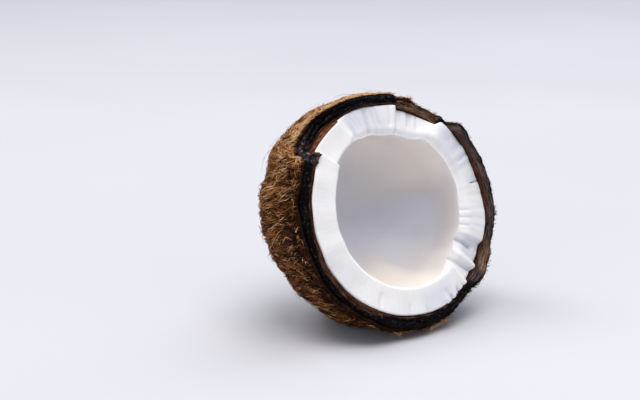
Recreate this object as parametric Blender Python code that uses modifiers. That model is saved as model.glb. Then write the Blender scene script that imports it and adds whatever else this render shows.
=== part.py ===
"""Half of a mature coconut, cracked open and lying on its side with its mouth forward and a little up.

Three layers that grew one inside the other show at the broken rim, and each is one solid: the coat of
husk fibre, the hard shell and the white flesh round the hollow. All are in metres.

The nut is first turned upright about its own axis, mouth at +Z and rim at z = 0, and is then laid on
its side by the empty that carries the layers. Round the axis, angle 0 is the nut's +X side and 90
degrees is the side that ends on top.
"""

import math
import random

import bmesh
import bpy
from mathutils import Matrix, Vector

# Overall form of the nut
SHELL_RADIUS = 0.0553
SHELL_DEPTH = 0.0626
WIDEST_LEVEL = -0.021
RIM_TAPER_AXIS = 0.175
SIDE_RIDGE = 0.010
SIDE_RIDGE_TURN = 90.0
SIDE_RIDGE_AT_RIM = 0.2
POLE_LEAN = 0.003
POLE_LEAN_POWER = 1.5
SIDE_REACH = 0.022

# Thickness of the layers
COAT_THICKNESS = 0.0023
SHELL_THICKNESS = 0.0046
FLESH_THICKNESS = 0.0132
FLESH_THICKNESS_AT_POLE = 0.0120
LAYER_GAP = 0.0003

# Broken rim. Waves round the nut are (how many, where they start, height).
RIM_ZONE = 0.030
COAT_SETBACK = 0.0018
SHELL_CHIPS = ((7, 0.4, 0.00025), (13, 2.1, 0.00020), (23, 4.0, 0.00016))
COAT_CHIPS = ((9, 1.2, 0.00045), (17, 3.3, 0.00035), (29, 5.1, 0.00025))
FLESH_CHIPS = ((6, 0.9, 0.00018), (11, 2.6, 0.00018), (19, 4.4, 0.00014))
FLESH_CHIPS_INSIDE = 0.4
FLESH_FACE_RINGS = (0.2, 0.5, 0.8)
WALL_ZONE = 0.014
HOLLOW_ZONE = 0.020

# How the nut lies
MOUTH_TILT = math.radians(20)
RIM_CENTRE_HEIGHT = 0.0574
RIM_CENTRE_Y = -0.0248
REST_CLUMP = 0.0060
REST_CLUMP_LEVEL = -0.055
REST_CLUMP_LENGTH = 0.018
REST_CLUMP_WIDTH = math.radians(33)

# Matted surface of the coat: (waves round, radians a metre along, start round, start along, height)
RELIEF_WAVES = (
    (3, 45, 5.0, 0.7, 0.00045),
    (5, 60, 0.3, 1.0, 0.00050),
    (9, 110, 2.0, 0.2, 0.00045),
    (14, 75, 4.1, 2.2, 0.00045),
    (19, 150, 1.1, 3.0, 0.00035),
)
RELIEF_DEEPEST = 0.0008
RELIEF_RIM_FADE = 0.006
RELIEF_POLE_FADE = 0.032

# Coarse fibres. A strand's length is a share of the way from pole to rim, its turns are radians.
STRANDS = 116
STRAND_RADIUS = 0.00042
STRAND_SEED = 7
STRAND_POINTS = 5
STRAND_LENGTH = (0.12, 0.24)
STRAND_DRIFT = 0.34
STRAND_BOW = 0.10
STRAND_ROOT = 0.0008
STRAND_TIP = (0.0016, 0.0038)
STRAND_LIFT_POWER = 0.8
STRAND_TAPER = (1.15, 0.65)
STRAND_PLACES = (0.10, 0.90)
STRAND_FLOOR = 0.0012
STRAND_RIM = 0.004

# Fineness of the solids
STEPS_ROUND = 72
RINGS_HIDDEN = 7
RINGS_COAT = 12
RINGS_HOLLOW = 9
RINGS_TO_RIM = 4
WELD = 0.00002
SHARP_EDGE = math.radians(35)

# Places round the nut: first and last angle, and how softly each end falls, in degrees. Then for the
# sides drawn in, the share of the radius; for the breaks, how deep at the layer's outer edge and at its
# inner edge; for the coat's setback, how far back; for the rest, how far outward.
SIDES_DRAWN_IN = ((-166, -46, 44, 50, 0.070),)
SHELL_BREAKS = (
    (111, 147.6, 28, 2, 0.0118, 0.0114),
    (141.5, 147.6, 4, 2, -0.0034, -0.0114),
    (50, 79, 4, 2, 0.0034, 0.0010),
    (41.5, 50, 2, 4, 0.0052, 0.0046),
    (-4, 40, 40, 2, -0.0020, -0.0018),
    (32, 40, 8, 2, -0.0014, -0.0010),
    (-66, -24, 16, 8, 0.0024, 0.0024),
    (-160, -130, 24, 24, 0.0022, 0.0020),
)
FLESH_BREAKS = (
    (107, 119.5, 24, 2, 0.0062, 0.0022),
    (119.5, 140.5, 2, 2, 0.0004, 0.0032),
    (50, 79, 3, 4, 0.0030, 0.0006),
    (24, 49, 14, 3, -0.0026, -0.0008),
    (-40, -27, 4, 3, 0.0034, 0.0012),
    (-52, -44, 3, 4, 0.0026, 0.0010),
    (-158, -128, 16, 16, 0.0022, 0.0004),
    (152, 178, 14, 14, -0.0012, 0.0000),
)
FLARES = (
    (-48, -27, 6, 6, 0.0022),
    (-118, -76, 14, 14, 0.0009),
)
FLARE_INSIDE = 0.3
PINCHES = (
    (50, 79, 4, 2, -0.0026),
    (79, 98, 2, 16, -0.0013),
)
FLESH_PINCH = 1.15
HOLLOW_PULLS = (
    (-58, 5, 24, 24, -0.0022),
    (60, 98, 14, 16, -0.0024),
    (112, 146, 8, 12, 0.0012),
)
COAT_THIN = (
    (74, 110, 10, 20, -0.0014),
    (-104, 66, 24, 10, -0.0011),
)
COAT_FURTHER_BACK = ((-100, 66, 24, 10, 0.0017),)


def clear_scene():
    for obj in list(bpy.data.objects):
        bpy.data.objects.remove(obj, do_unlink=True)


def new_collection(name):
    collection = bpy.data.collections.new(name)
    bpy.context.scene.collection.children.link(collection)
    return collection


def material(name, colour, roughness):
    made = bpy.data.materials.new(name)
    made.use_nodes = True
    shader = made.node_tree.nodes["Principled BSDF"]
    shader.inputs["Base Color"].default_value = (*colour, 1.0)
    shader.inputs["Roughness"].default_value = roughness
    shader.inputs["Metallic"].default_value = 0.0
    return made


def smooth(value):
    """A soft step from 0 to 1."""
    value = min(max(value, 0.0), 1.0)
    return value * value * (3 - 2 * value)


def between(angle, first, last, soft_first, soft_last):
    """1 inside a range of angles in degrees, falling softly to 0 round each end."""
    half = (last - first) % 360 / 2
    off_middle = (angle - first - half + 180) % 360 - 180
    return smooth((half + off_middle) / soft_first + 0.5) * smooth((half - off_middle) / soft_last + 0.5)


def ripple(angle, waves):
    """The waves round the nut, added up at this angle."""
    turn = math.radians(angle)
    return sum(height * math.cos(count * turn + start) for count, start, height in waves)


def break_depth(angle, across, breaks):
    """How much is broken away. across is 0 at the layer's inner edge and 1 at its outer edge."""
    depth = 0.0
    for first, last, soft_first, soft_last, outer, inner in breaks:
        depth += (inner + (outer - inner) * across) * between(angle, first, last, soft_first, soft_last)
    return depth


def moved_out(angle, places):
    """How far outward the rim is moved at this angle."""
    return sum(out * between(angle, *place) for *place, out in places)


def shell_edge(angle, across):
    """How far the shell's broken edge stands above the rim plane."""
    return ripple(angle, SHELL_CHIPS) - break_depth(angle, across, SHELL_BREAKS)


def flesh_edge(angle, across):
    """Level of the flesh's broken face."""
    chips = ripple(angle, FLESH_CHIPS) * (FLESH_CHIPS_INSIDE + (1 - FLESH_CHIPS_INSIDE) * across)
    return chips - break_depth(angle, across, FLESH_BREAKS)


def taper(level):
    """Share of the widest radius that a wall has left at this level, on its way in to the rim."""
    return math.sqrt(1 - ((level - WIDEST_LEVEL) / RIM_TAPER_AXIS) ** 2)


def layer_profile(radius, depth, rings):
    """(r, z) points of one layer's surface, from its pole up to the rim plane."""
    points = []
    for ring in range(rings + 1):
        turn = math.pi / 2 * ring / rings
        z = WIDEST_LEVEL - (depth + WIDEST_LEVEL) * math.cos(turn)
        points.append((radius * math.sin(turn), z))
    for ring in range(1, RINGS_TO_RIM + 1):
        z = WIDEST_LEVEL * (1 - ring / RINGS_TO_RIM)
        points.append((radius * taper(z), z))
    return points


def split_walls(mesh):
    """Splits the quads of every wall along the same diagonal, so that two facing walls bend alike."""
    body = bmesh.new()
    body.from_mesh(mesh)
    for face in [face for face in body.faces if len(face.verts) == 4]:
        middle = face.calc_center_median()
        side = Vector((-middle.y, middle.x, 0.0)).normalized()

        def slant(vertex):
            return (vertex.co - middle).dot(side) + vertex.co.z - middle.z

        low, high = min(face.verts, key=slant), max(face.verts, key=slant)
        if not any(low in edge.verts and high in edge.verts for edge in face.edges):
            bmesh.utils.face_split(face, low, high)
    body.to_mesh(mesh)
    body.free()


def turned(name, profile):
    """The closed profile turned about Z by a Screw, as a mesh. It runs down its outer side."""
    outline = bpy.data.meshes.new(name + "_outline")
    outline.from_pydata([(r, 0.0, z) for r, z in profile], [(i, i + 1) for i in range(len(profile) - 1)], [])
    guide = bpy.data.objects.new(name + "_guide", outline)
    bpy.context.scene.collection.objects.link(guide)
    screw = guide.modifiers.new("turn", "SCREW")
    screw.steps = STEPS_ROUND
    screw.render_steps = STEPS_ROUND
    screw.use_merge_vertices = True
    screw.merge_threshold = 0.00001
    bpy.context.view_layer.update()
    graph = bpy.context.evaluated_depsgraph_get()
    mesh = bpy.data.meshes.new_from_object(guide.evaluated_get(graph))
    bpy.data.objects.remove(guide, do_unlink=True)
    split_walls(mesh)
    return mesh


def grown(point):
    """The nut's own irregular form: three faint ridges along it, a side that is drawn in behind the rim,
    and a pole that leans off the axis."""
    angle = math.atan2(point.y, point.x)
    along = min(1.0, -point.z / SHELL_DEPTH) if point.z < 0 else 0.0
    ridge = SIDE_RIDGE * math.cos(3 * (angle - math.radians(SIDE_RIDGE_TURN)))
    swell = 1 + ridge * math.sin(math.pi * min(1.0, along + SIDE_RIDGE_AT_RIM))
    behind_rim = math.sin(math.pi / 2 * min(1.0, max(0.0, -point.z / SIDE_REACH)))
    swell -= behind_rim * moved_out(math.degrees(angle), SIDES_DRAWN_IN)
    return Vector((point.x * swell, point.y * swell + POLE_LEAN * along ** POLE_LEAN_POWER, point.z))


def reshape(mesh, formula):
    """Moves every vertex by a formula of its place on the turned shape."""
    for vertex in mesh.vertices:
        vertex.co = grown(formula(vertex.co.copy()))
    mesh.update()


def to_rim(point, edge, out, zone=WALL_ZONE):
    """Slides a point of the upper wall along the wall, so that it ends at edge, and moves it outward."""
    level = point.z + edge * smooth(1 + point.z / RIM_ZONE)
    radius = math.hypot(point.x, point.y)
    if level < WIDEST_LEVEL or radius < WELD:
        return Vector((point.x, point.y, level))
    below_edge = level - shell_edge(angle_of(point), 1.0)
    wider = taper(level) / taper(point.z) + out * smooth(1 + below_edge / zone) / radius
    return Vector((point.x * wider, point.y * wider, level))


def angle_of(point):
    return math.degrees(math.atan2(point.y, point.x))


def across_wall(point, inner_radius, outer_radius):
    """0 on the inner side of a layer's wall at the rim, 1 on its outer side."""
    radius = math.hypot(point.x, point.y)
    return min(max((radius - inner_radius) / (outer_radius - inner_radius), 0.0), 1.0)


def place(name, mesh, collection, carrier, finish):
    """One layer as a named object on the carrying empty, facing out and shaded smooth."""
    fresh = bmesh.new()
    fresh.from_mesh(mesh)
    bmesh.ops.remove_doubles(fresh, verts=fresh.verts, dist=WELD)
    bmesh.ops.recalc_face_normals(fresh, faces=fresh.faces)
    fresh.to_mesh(mesh)
    fresh.free()
    mesh.shade_smooth()
    mesh.set_sharp_from_angle(angle=SHARP_EDGE)
    mesh.materials.clear()
    mesh.materials.append(finish)
    obj = bpy.data.objects.new(name, mesh)
    obj.parent = carrier
    collection.objects.link(obj)
    return obj


def make_flesh(collection, carrier):
    """White flesh: a thick cup whose broken face is chipped lower where pieces came away."""
    outer_radius = SHELL_RADIUS - SHELL_THICKNESS - LAYER_GAP
    outer_depth = SHELL_DEPTH - SHELL_THICKNESS - LAYER_GAP
    inner_radius = outer_radius - FLESH_THICKNESS
    outer = layer_profile(outer_radius, outer_depth, RINGS_HIDDEN)
    inner = layer_profile(inner_radius, outer_depth - FLESH_THICKNESS_AT_POLE, RINGS_HOLLOW)
    rim_outer, rim_inner = outer[-1][0], inner[-1][0]
    face = [(rim_inner + (rim_outer - rim_inner) * share, 0.0) for share in FLESH_FACE_RINGS]
    mesh = turned("flesh", outer[::-1] + inner + face + outer[-1:])

    def broken(point):
        angle, across = angle_of(point), across_wall(point, rim_inner, rim_outer)
        pinch, pull = FLESH_PINCH * moved_out(angle, PINCHES), moved_out(angle, HOLLOW_PULLS)
        out = pinch * across + pull * (1 - across)
        return to_rim(point, flesh_edge(angle, across), out, WALL_ZONE if across > 0.5 else HOLLOW_ZONE)

    reshape(mesh, broken)
    finish = material("coconut_flesh", (0.86, 0.84, 0.80), 0.45)
    return place("white_flesh", mesh, collection, carrier, finish)


def make_shell(collection, carrier):
    """Hard shell: a thin dark cup with a jagged, stepped edge."""
    inner_radius = SHELL_RADIUS - SHELL_THICKNESS
    outer = layer_profile(SHELL_RADIUS, SHELL_DEPTH, RINGS_HIDDEN)
    inner = layer_profile(inner_radius, SHELL_DEPTH - SHELL_THICKNESS, RINGS_HIDDEN)
    mesh = turned("shell", outer[::-1] + inner + outer[-1:])

    def broken(point):
        angle = angle_of(point)
        across = across_wall(point, inner[-1][0], outer[-1][0])
        flare = moved_out(angle, FLARES) * (FLARE_INSIDE + (1 - FLARE_INSIDE) * across)
        return to_rim(point, shell_edge(angle, across), flare + moved_out(angle, PINCHES))

    reshape(mesh, broken)
    finish = material("coconut_shell", (0.035, 0.022, 0.018), 0.6)
    return place("hard_shell", mesh, collection, carrier, finish)


def coat_relief(point):
    """Height of the matted fibre at a point of the coat: waves round the nut that change along it."""
    angle = math.atan2(point.y, point.x)
    height = 0.0
    for count, along, start_round, start_along, size in RELIEF_WAVES:
        height += size * math.cos(count * angle + start_round) * math.cos(along * point.z + start_along)
    return max(height, -RELIEF_DEEPEST) * smooth(math.hypot(point.x, point.y) / RELIEF_POLE_FADE)


def rest_clump(point):
    """The matted clump of husk under the nut that it lies on."""
    off_bottom = (math.atan2(point.y, point.x) + math.pi / 2 + math.pi) % (2 * math.pi) - math.pi
    off_level = (point.z - REST_CLUMP_LEVEL) / REST_CLUMP_LENGTH
    return REST_CLUMP * math.exp(-((off_bottom / REST_CLUMP_WIDTH) ** 2) - off_level ** 2)


def coat_surface(point):
    """Lifts a point of the plain coat out to the matted surface, away from the middle of the nut."""
    rise = coat_relief(point) + rest_clump(point)
    out = Vector((point.x, point.y, min(0.0, point.z - WIDEST_LEVEL))).normalized()
    return point + out * rise * smooth(-point.z / RELIEF_RIM_FADE)


def coat_wall(point, outside):
    """A point of the plain coat put where it belongs: matted if outside, then slid to the broken rim."""
    angle = angle_of(point)
    out = moved_out(angle, FLARES + PINCHES)
    if outside:
        point = coat_surface(point)
        out += moved_out(angle, COAT_THIN)
    return to_rim(point, shell_edge(angle, 1.0), out)


def lay_matrix():
    """From the upright nut to the nut on its side, mouth towards -Y."""
    place_of_rim = Matrix.Translation((0.0, RIM_CENTRE_Y, RIM_CENTRE_HEIGHT))
    return place_of_rim @ Matrix.Rotation(math.pi / 2 - MOUTH_TILT, 4, "X")


def make_coat_body(inner_radius, inner_depth):
    """The coat without its strands: a thin cup with a matted outside, cut flat where it rests."""
    coat_radius, coat_depth = inner_radius + COAT_THICKNESS, inner_depth + COAT_THICKNESS
    outer = layer_profile(coat_radius, coat_depth, RINGS_COAT)
    inner = layer_profile(inner_radius, inner_depth, RINGS_HIDDEN)
    mesh = turned("coat", outer[::-1] + inner + outer[-1:])
    middle = (inner_radius + coat_radius) / 2
    pole_middle = (inner_depth + coat_depth) / 2

    def matted(point):
        radius = math.hypot(point.x, point.y)
        level = min(0.0, point.z - WIDEST_LEVEL)
        return coat_wall(point, (radius / middle) ** 2 + (level / (pole_middle + WIDEST_LEVEL)) ** 2 > 1)

    def set_back(point):
        """The coat ends a little behind the shell's edge, unevenly, and keeps to the shell's wall."""
        if point.z < -WELD:
            return matted(point)
        row = -WIDEST_LEVEL / RINGS_TO_RIM
        back = COAT_SETBACK + moved_out(angle_of(point), COAT_FURTHER_BACK)
        share = (back - ripple(angle_of(point), COAT_CHIPS)) / row
        wider = taper(-row) / taper(0.0)
        return matted(point).lerp(matted(Vector((point.x * wider, point.y * wider, -row))), share)

    reshape(mesh, set_back)
    cut_flat(mesh)
    return mesh


def cut_flat(mesh):
    """Cuts away what would lie below the surface that the nut rests on, and closes the cut."""
    to_nut = lay_matrix().inverted()
    body = bmesh.new()
    body.from_mesh(mesh)
    bmesh.ops.remove_doubles(body, verts=body.verts, dist=WELD)
    bmesh.ops.recalc_face_normals(body, faces=body.faces)
    geometry = list(body.verts) + list(body.edges) + list(body.faces)
    floor_point = to_nut @ Vector((0.0, 0.0, 0.0))
    down = to_nut.to_3x3() @ Vector((0.0, 0.0, -1.0))
    bmesh.ops.bisect_plane(
        body, geom=geometry, dist=WELD / 4, plane_co=floor_point, plane_no=down, clear_outer=True
    )
    bmesh.ops.holes_fill(body, edges=[edge for edge in body.edges if edge.is_boundary], sides=0)
    bmesh.ops.recalc_face_normals(body, faces=body.faces)
    body.to_mesh(mesh)
    body.free()


def on_coat(radius, depth, share, angle, lift):
    """A point over the coat, share of the way from pole to rim, at a height above its surface."""
    arc = share * (RINGS_COAT + RINGS_TO_RIM)
    if arc < RINGS_COAT:
        turn = math.pi / 2 * arc / RINGS_COAT
        r, z = radius * math.sin(turn), WIDEST_LEVEL - (depth + WIDEST_LEVEL) * math.cos(turn)
    else:
        z = WIDEST_LEVEL * (1 - (arc - RINGS_COAT) / RINGS_TO_RIM)
        r = radius * taper(z)
    plain = Vector((r * math.cos(angle), r * math.sin(angle), z))
    out = Vector((plain.x, plain.y, min(0.0, z - WIDEST_LEVEL))).normalized()
    return grown(coat_wall(plain, True) + out * lift)


def strand_route(draw, radius, depth, share, angle):
    """One coarse fibre: rooted in the coat, it runs along the nut, bends aside and ends standing clear."""
    length = draw.uniform(*STRAND_LENGTH)
    drift = draw.uniform(-STRAND_DRIFT, STRAND_DRIFT)
    bow = draw.uniform(-STRAND_BOW, STRAND_BOW)
    tip = draw.uniform(*STRAND_TIP)
    points = []
    for step in range(STRAND_POINTS):
        along = step / (STRAND_POINTS - 1)
        lift = (tip + STRAND_ROOT) * along ** STRAND_LIFT_POWER - STRAND_ROOT
        sideways = angle + drift * along + bow * math.sin(math.pi * along)
        points.append(on_coat(radius, depth, share + length * (along - 0.5), sideways, lift))
    return points


def strand_mesh(name, route):
    """A three-sided strand that tapers to its tip, closed at both ends."""
    curve = bpy.data.curves.new(name, "CURVE")
    curve.dimensions = "3D"
    curve.bevel_depth = STRAND_RADIUS
    curve.bevel_resolution = 0
    curve.use_fill_caps = True
    curve.resolution_u = 1
    spline = curve.splines.new("POLY")
    spline.points.add(len(route) - 1)
    root_size, tip_size = STRAND_TAPER
    for index, (point, place_on_route) in enumerate(zip(spline.points, route)):
        point.co = (*place_on_route, 1.0)
        point.radius = root_size + (tip_size - root_size) * index / (len(route) - 1)
    obj = bpy.data.objects.new(name, curve)
    bpy.context.scene.collection.objects.link(obj)
    bpy.context.view_layer.update()
    graph = bpy.context.evaluated_depsgraph_get()
    mesh = bpy.data.meshes.new_from_object(obj.evaluated_get(graph))
    bpy.data.objects.remove(obj, do_unlink=True)
    closed = bmesh.new()
    closed.from_mesh(mesh)
    bmesh.ops.remove_doubles(closed, verts=closed.verts, dist=WELD / 2)
    bmesh.ops.recalc_face_normals(closed, faces=closed.faces)
    closed.to_mesh(mesh)
    closed.free()
    return mesh


def strand_places(count):
    """Evenly spread (share, angle) places over the coat, by a golden-angle spiral."""
    golden = math.pi * (3 - math.sqrt(5))
    nearest_pole, nearest_rim = STRAND_PLACES
    for index in range(count):
        height = (index + 0.5) / count
        share = nearest_pole + (nearest_rim - nearest_pole) * math.acos(1 - height) / (math.pi / 2)
        yield share, index * golden


def make_coat(collection, carrier, cutters):
    """Coat of husk fibre, with its coarse strands joined to it."""
    inner_radius, inner_depth = SHELL_RADIUS + LAYER_GAP, SHELL_DEPTH + LAYER_GAP
    mesh = make_coat_body(inner_radius, inner_depth)
    coat = place("husk_fibre", mesh, collection, carrier, material("husk_fibre", (0.33, 0.19, 0.09), 0.9))
    radius, depth = inner_radius + COAT_THICKNESS, inner_depth + COAT_THICKNESS
    lay = lay_matrix()
    draw = random.Random(STRAND_SEED)
    for share, angle in strand_places(STRANDS):
        route = strand_route(draw, radius, depth, share, angle)
        below_floor = min((lay @ point).z for point in route) < STRAND_FLOOR
        past_rim = any(point.z > shell_edge(angle_of(point), 1.0) - STRAND_RIM for point in route)
        if below_floor or past_rim:
            continue
        strand = bpy.data.objects.new("strand", strand_mesh("strand", route))
        strand.parent = carrier
        strand.hide_render = True
        strand.display_type = "WIRE"
        cutters.objects.link(strand)
    join = coat.modifiers.new("join_strands", "BOOLEAN")
    join.operand_type = "COLLECTION"
    join.collection = cutters
    join.operation = "UNION"
    join.solver = "MANIFOLD"
    bpy.context.view_layer.update()
    graph = bpy.context.evaluated_depsgraph_get()
    joined = bpy.data.meshes.new_from_object(coat.evaluated_get(graph))
    coat.modifiers.clear()
    coat.data = joined
    for strand in list(cutters.objects):
        bpy.data.objects.remove(strand, do_unlink=True)
    return coat


def main():
    clear_scene()
    parts = new_collection("coconut_half")
    strands = new_collection("strands_to_join")
    carrier = bpy.data.objects.new("nut_axis", None)
    carrier.matrix_world = lay_matrix()
    parts.objects.link(carrier)
    bpy.context.view_layer.update()
    make_flesh(parts, carrier)
    make_shell(parts, carrier)
    make_coat(parts, carrier, strands)


main()
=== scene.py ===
"""Looks of half a cracked coconut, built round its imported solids.

Each of the three layers is shown by a finer piece that keeps the solid's own shape: the white flesh, the
hard shell and the matted coat of husk, which also gets its thousands of loose fibres. All are in metres.

The pieces are worked out on the nut stood upright, mouth at +Z and rim at level 0, and are then laid on
their side. Round the axis, angle 0 is the nut's +X side and 90 degrees the side that ends on top.
"""

import math

import bpy
import numpy as np
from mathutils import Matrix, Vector


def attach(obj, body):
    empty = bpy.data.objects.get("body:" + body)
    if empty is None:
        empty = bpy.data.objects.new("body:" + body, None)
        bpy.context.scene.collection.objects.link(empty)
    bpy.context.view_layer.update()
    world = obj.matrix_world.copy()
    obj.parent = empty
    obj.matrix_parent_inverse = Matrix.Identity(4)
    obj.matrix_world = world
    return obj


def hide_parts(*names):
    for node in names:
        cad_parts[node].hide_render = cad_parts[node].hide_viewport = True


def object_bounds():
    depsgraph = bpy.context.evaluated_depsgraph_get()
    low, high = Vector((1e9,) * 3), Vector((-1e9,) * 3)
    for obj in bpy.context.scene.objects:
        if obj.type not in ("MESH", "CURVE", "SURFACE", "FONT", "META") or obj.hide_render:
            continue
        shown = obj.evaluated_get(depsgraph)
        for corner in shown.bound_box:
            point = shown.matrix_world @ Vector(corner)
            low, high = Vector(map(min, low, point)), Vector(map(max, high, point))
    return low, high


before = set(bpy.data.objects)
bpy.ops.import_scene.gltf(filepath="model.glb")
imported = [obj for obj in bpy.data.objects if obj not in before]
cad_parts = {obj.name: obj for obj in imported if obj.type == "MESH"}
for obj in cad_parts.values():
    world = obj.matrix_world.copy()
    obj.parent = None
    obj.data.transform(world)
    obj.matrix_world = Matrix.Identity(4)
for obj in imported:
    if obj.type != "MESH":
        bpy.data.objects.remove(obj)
cad_low, cad_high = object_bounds()

# Overall form of the nut, as in the solids
SHELL_RADIUS = 0.0553
SHELL_DEPTH = 0.0626
WIDEST_LEVEL = -0.021
RIM_TAPER_AXIS = 0.175
SIDE_RIDGE = 0.010
SIDE_RIDGE_TURN = 90.0
SIDE_RIDGE_AT_RIM = 0.2
POLE_LEAN = 0.003
POLE_LEAN_POWER = 1.5
SIDE_REACH = 0.022
COAT_THICKNESS = 0.0023
SHELL_THICKNESS = 0.0046
FLESH_THICKNESS = 0.0132
FLESH_THICKNESS_AT_POLE = 0.0120
LAYER_GAP = 0.0003
MOUTH_TILT = math.radians(20)
RIM_CENTRE_HEIGHT = 0.0574
RIM_CENTRE_Y = -0.0248
REST_CLUMP = 0.0060
REST_CLUMP_LEVEL = -0.055
REST_CLUMP_LENGTH = 0.018
REST_CLUMP_WIDTH = math.radians(33)

# Broken rim, as in the solids. Waves round the nut are (how many, where they start, height).
RIM_ZONE = 0.030
WALL_ZONE = 0.014
HOLLOW_ZONE = 0.020
COAT_SETBACK = 0.0018
SHELL_CHIPS = ((7, 0.4, 0.00025), (13, 2.1, 0.00020), (23, 4.0, 0.00016))
COAT_CHIPS = ((9, 1.2, 0.00045), (17, 3.3, 0.00035), (29, 5.1, 0.00025))
FLESH_CHIPS = ((6, 0.9, 0.00018), (11, 2.6, 0.00018), (19, 4.4, 0.00014))
FLESH_CHIPS_INSIDE = 0.4
FLESH_PINCH = 1.15
RELIEF_WAVES = (
    (3, 45, 5.0, 0.7, 0.00045),
    (5, 60, 0.3, 1.0, 0.00050),
    (9, 110, 2.0, 0.2, 0.00045),
    (14, 75, 4.1, 2.2, 0.00045),
    (19, 150, 1.1, 3.0, 0.00035),
)
RELIEF_DEEPEST = 0.0008
RELIEF_RIM_FADE = 0.006
RELIEF_POLE_FADE = 0.032

# Places round the nut, as in the solids: first and last angle, and how softly each end falls, in
# degrees. Then for the sides drawn in, the share of the radius; for the breaks, how deep at the layer's
# outer edge and at its inner edge; for the coat's setback, how far back; for the rest, how far outward.
# The flesh's first five breaks differ from the solids: the wedge, the first three, is deeper outside, and
# the two shoulders are softer.
SIDES_DRAWN_IN = ((-166, -46, 44, 50, 0.070),)
SHELL_BREAKS = (
    (111, 147.6, 28, 2, 0.0118, 0.0114),
    (141.5, 147.6, 4, 2, -0.0034, -0.0114),
    (50, 79, 4, 2, 0.0034, 0.0010),
    (41.5, 50, 2, 4, 0.0052, 0.0046),
    (-4, 40, 40, 2, -0.0020, -0.0018),
    (32, 40, 8, 2, -0.0014, -0.0010),
    (-66, -24, 16, 8, 0.0024, 0.0024),
    (-160, -130, 24, 24, 0.0022, 0.0020),
)
FLESH_BREAKS = (
    (107, 117.5, 24, 2, 0.0062, 0.0022),
    (117.5, 140.5, 2, 2, 0.0034, 0.0032),
    (133, 140.5, 12, 2, 0.0022, 0.0),
    (58, 79, 18, 4, 0.0028, 0.0006),
    (24, 54, 14, 14, -0.0016, -0.0008),
    (-40, -27, 4, 3, 0.0034, 0.0012),
    (-52, -44, 3, 4, 0.0026, 0.0010),
    (-158, -128, 16, 16, 0.0022, 0.0004),
    (152, 178, 14, 14, -0.0012, 0.0000),
)
FLARES = (
    (-48, -27, 6, 6, 0.0022),
    (-118, -76, 14, 14, 0.0009),
)
FLARE_INSIDE = 0.3
PINCHES = (
    (50, 79, 4, 2, -0.0026),
    (79, 98, 2, 16, -0.0013),
)
HOLLOW_PULLS = (
    (-58, 5, 24, 24, -0.0022),
    (60, 98, 14, 16, -0.0024),
    (112, 146, 8, 12, 0.0012),
)
COAT_THIN = (
    (74, 110, 10, 20, -0.0014),
    (-104, 66, 24, 10, -0.0011),
)
COAT_FURTHER_BACK = ((-100, 66, 24, 10, 0.0017),)

# Fine shape of the flesh's broken face: heights in metres, widths as shares of the way across it. The
# places are as above, each with its amount. A notch is (angle, its drift across the face, half width,
# depth, where it starts and ends across the face).
FACE_GROOVES = 0.00030
FACE_LUMPS = 0.00035
FACE_GROOVED = 0.14
FACE_MORE_GROOVED = ((62, 118, 12, 3, 1.3), (-62, 44, 14, 6, 0.75))
FACE_EDGE_GROOVED = ((-88, -56, 8, 8, 1.2),)
FACE_SLOPES = ((-62, 62, 20, 20, 0.0013),)
FACE_INNER_ROUND = 0.0008
FACE_INNER_WIDTH = 0.12
FACE_ROUNDER = ((-62, 118, 20, 6, 1.0), (-46, 60, 30, 30, 0.6))
FACE_ROUNDER_WIDTH = 0.22
FACE_ROUNDER_HEIGHT = 1.1
FACE_OUTER_ROUND = 0.0006
FACE_OUTER_WIDTH = 0.06
FACE_SHARPER = ((112, 150, 4, 8, 0.7),)
FACE_NOTCHES = (
    (8.4, -0.6, 0.00045, 0.0016, 0.50, 1.1),
    (-31.5, -1.5, 0.0012, 0.0022, -0.2, 0.80),
    (-50.0, 5.5, 0.0012, 0.0016, -0.2, 1.1),
    (-57.0, 1.0, 0.0005, 0.0009, 0.80, 1.2),
    (-60.5, -0.6, 0.0006, 0.0013, 0.72, 1.2),
    (-64.5, 0.8, 0.0005, 0.0010, 0.78, 1.2),
    (-67.5, -0.5, 0.0006, 0.0012, 0.70, 1.2),
    (-74.0, 0.4, 0.0005, 0.0008, 0.80, 1.2),
    (80.8, -1.6, 0.0011, 0.0012, -0.1, 1.1),
    (86.5, -0.5, 0.0008, 0.0008, 0.20, 1.1),
    (94.5, 0.8, 0.0006, 0.0006, 0.20, 1.1),
    (103.5, -2.2, 0.0014, 0.0014, -0.1, 1.1),
    (114.0, -2.8, 0.0009, 0.0009, 0.00, 1.1),
    (69.0, 0.6, 0.0007, 0.0007, 0.25, 1.1),
    (56.0, 0.0, 0.0042, -0.0009, -0.3, 0.60),
    (40.5, -2.0, 0.0010, 0.0005, 0.45, 1.1),
    (62.0, 1.4, 0.0009, 0.0006, 0.30, 1.1),
    (24.0, 0.5, 0.0006, 0.0007, 0.35, 1.1),
    (-9.0, 0.0, 0.0005, 0.0006, -0.2, 0.45),
    (-14.5, 0.8, 0.0006, 0.0007, -0.2, 0.50),
    (-20.0, 0.4, 0.0005, 0.0006, -0.2, 0.45),
    (-70.0, 1.2, 0.0009, 0.0006, 0.40, 1.1),
    (-98.0, -0.8, 0.0008, 0.0005, 0.50, 1.1),
    (-121.0, 1.5, 0.0009, 0.0006, 0.30, 1.1),
)

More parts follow.
